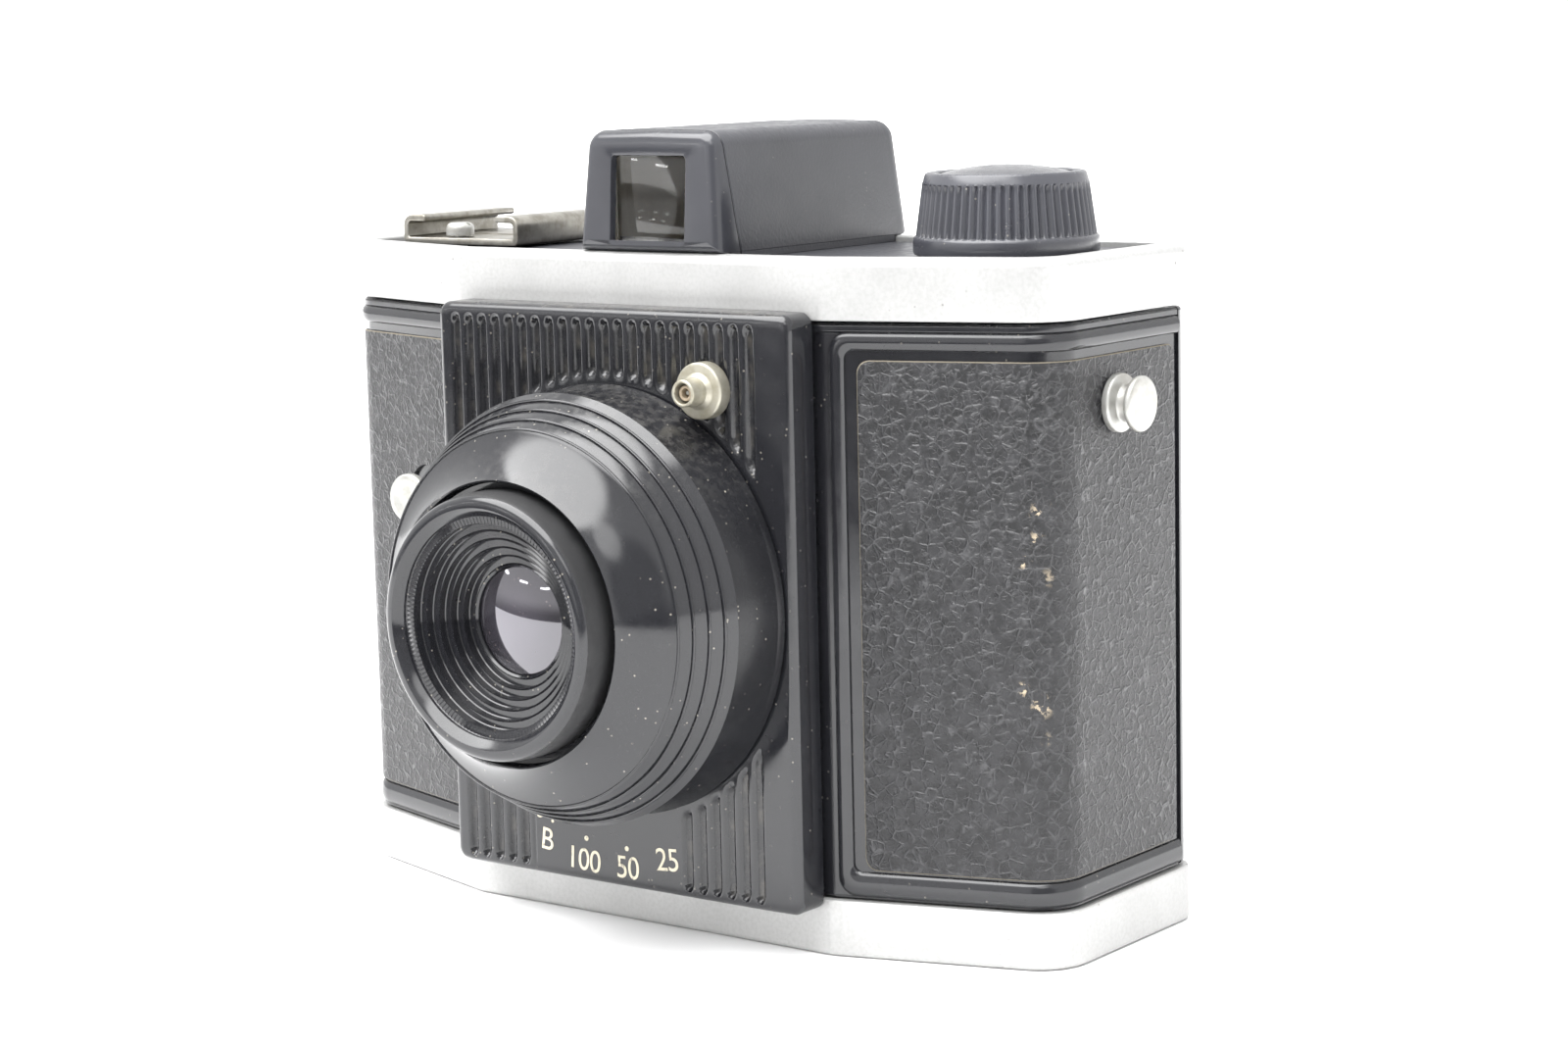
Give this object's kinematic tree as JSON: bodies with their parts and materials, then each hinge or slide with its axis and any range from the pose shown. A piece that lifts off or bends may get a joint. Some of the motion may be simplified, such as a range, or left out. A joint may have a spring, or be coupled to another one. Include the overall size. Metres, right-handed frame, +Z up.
{
  "type": "box camera",
  "caption": "Roll-film box camera: moulded body with silver bands, stepped shutter turret, eye-level finder, winding knob, accessory shoe and hinged back.",
  "frame": {"origin": "on the base plate's flat underside, in the middle of the body's width and depth", "axes": "+Z up, the lens looks along -Y, +X towards the winding knob"},
  "size_m": [0.1226, 0.0727, 0.1012],
  "materials": {
    "black_bakelite": "moulded phenolic, polished with fine handling marks",
    "satin_silver": "satin anodised, slightly speckled with age",
    "leatherette": "pebble-grained black leathercloth with worn chips",
    "nickel": "dull nickel plate on brass",
    "steel": "plain turned or stamped steel",
    "black_paint": "matt black enamel against stray light",
    "spool_paint": "semi-matt black japanned steel",
    "insulation": "brown moulded insulation",
    "clear_glass": "clear polished glass",
    "coated_lens": "violet-blue coated lens glass",
    "ruby_window": "ruby red celluloid"
  },
  "bodies": {
    "body": {"body_shell": "black_bakelite", "top_band": "satin_silver", "base_band": "satin_silver", "top_deck": "black_bakelite", "base_plate": "black_bakelite", "tripod_bush": "nickel", "leather_right": "leatherette", "leather_left": "leatherette", "front_plate": "black_bakelite", "flash_socket_flange": "nickel", "flash_socket_sleeve": "nickel", "flash_socket_insulator": "insulation", "flash_socket_pin": "nickel", "shutter_housing": "black_bakelite", "lens_barrel": "black_bakelite", "lens_glass": "coated_lens", "lens_retaining_ring": "black_paint", "shutter_base": "steel", "shutter_pivot": "steel", "aperture_plate": "black_paint", "release_lever_pin": "steel", "light_chamber": "black_paint", "film_gate": "black_paint", "take_up_pin": "steel", "supply_pin_lower": "steel", "supply_pin_upper": "steel", "finder_bezel": "black_bakelite", "finder_housing": "black_bakelite", "finder_front_lens": "clear_glass", "finder_eyepiece": "black_bakelite", "finder_rear_lens": "clear_glass", "accessory_shoe": "nickel", "shoe_screw_1": "steel", "shoe_screw_2": "steel", "strap_lug_right": "nickel", "strap_lug_left": "nickel", "hinge_leaf_body": "nickel", "hinge_pin": "steel", "latch_keeper": "steel"},
    "wind": {"winding_knob": "black_bakelite", "winding_knob_cap": "black_bakelite", "winding_shaft": "steel", "winding_key": "steel", "take_up_spool": "spool_paint"},
    "supply": {"supply_spool": "spool_paint"},
    "speed": {"speed_ring": "black_bakelite"},
    "release": {"release_button": "nickel"},
    "lever": {"release_lever": "steel"},
    "blade": {"shutter_blade": "steel"},
    "roller_right": {"film_roller_right": "steel"},
    "roller_left": {"film_roller_left": "steel"},
    "door": {"back_door": "black_bakelite", "leather_back": "leatherette", "red_window": "ruby_window", "window_guide": "black_paint", "hinge_leaf_door": "nickel", "pressure_spring": "steel"},
    "cover": {"red_window_cover": "black_paint"},
    "latch": {"back_latch": "nickel"},
    "pressure": {"pressure_plate": "black_paint"}
  },
  "joints": [
    {"name": "wind_turn", "type": "hinge", "parent": "body", "child": "wind", "pos_m": [0.0426, 0, 0.086], "axis": [0, 0, 1], "continuous": true},
    {"name": "supply_turn", "type": "hinge", "parent": "body", "child": "supply", "pos_m": [-0.0426, 0, 0.043], "axis": [0, 0, 1], "continuous": true},
    {"name": "speed_set", "type": "hinge", "parent": "body", "child": "speed", "pos_m": [0, -0.038, 0.0429], "axis": [0, -1, 0], "range_deg": [-11.5, 23]},
    {"name": "release_press", "type": "slide", "parent": "body", "child": "release", "axis": [0, 1, 0], "range_m": [0, 0.0022], "stiffness_N_per_m": 250, "springref_m": -0.0012},
    {"name": "release_lever_turn", "type": "hinge", "parent": "body", "child": "lever", "pos_m": [-0.0315, -0.0123, 0.0524], "axis": [0, 0, -1], "range_deg": [0, 17]},
    {"name": "shutter_swing", "type": "hinge", "parent": "body", "child": "blade", "pos_m": [-0.012, -0.0287, 0.0359], "axis": [0, -1, 0], "range_deg": [0, 50]},
    {"name": "roller_right_turn", "type": "hinge", "parent": "body", "child": "roller_right", "pos_m": [0.0268, 0.0124, 0.043], "axis": [0, 0, 1], "continuous": true},
    {"name": "roller_left_turn", "type": "hinge", "parent": "body", "child": "roller_left", "pos_m": [-0.0268, 0.0124, 0.043], "axis": [0, 0, 1], "continuous": true},
    {"name": "door_swing", "type": "hinge", "parent": "body", "child": "door", "pos_m": [-0.0592, 0.019, 0.043], "axis": [0, 0, 1], "range_deg": [0, 110]},
    {"name": "window_cover_slide", "type": "slide", "parent": "door", "child": "cover", "axis": [1, 0, 0], "range_m": [0, 0.0113]},
    {"name": "latch_slide", "type": "slide", "parent": "door", "child": "latch", "axis": [1, 0, 0], "range_m": [0, 0.0024]},
    {"name": "pressure_float", "type": "slide", "parent": "door", "child": "pressure", "axis": [0, 1, 0], "range_m": [0, 0.0006], "stiffness_N_per_m": 300, "springref_m": -0.001}
  ],
  "couplings": [
    {"joint": "release_lever_turn", "follows": "release_press", "rad_per_m": 126.6},
    {"joint": "shutter_swing", "follows": "release_press", "rad_per_m": 380}
  ]
}
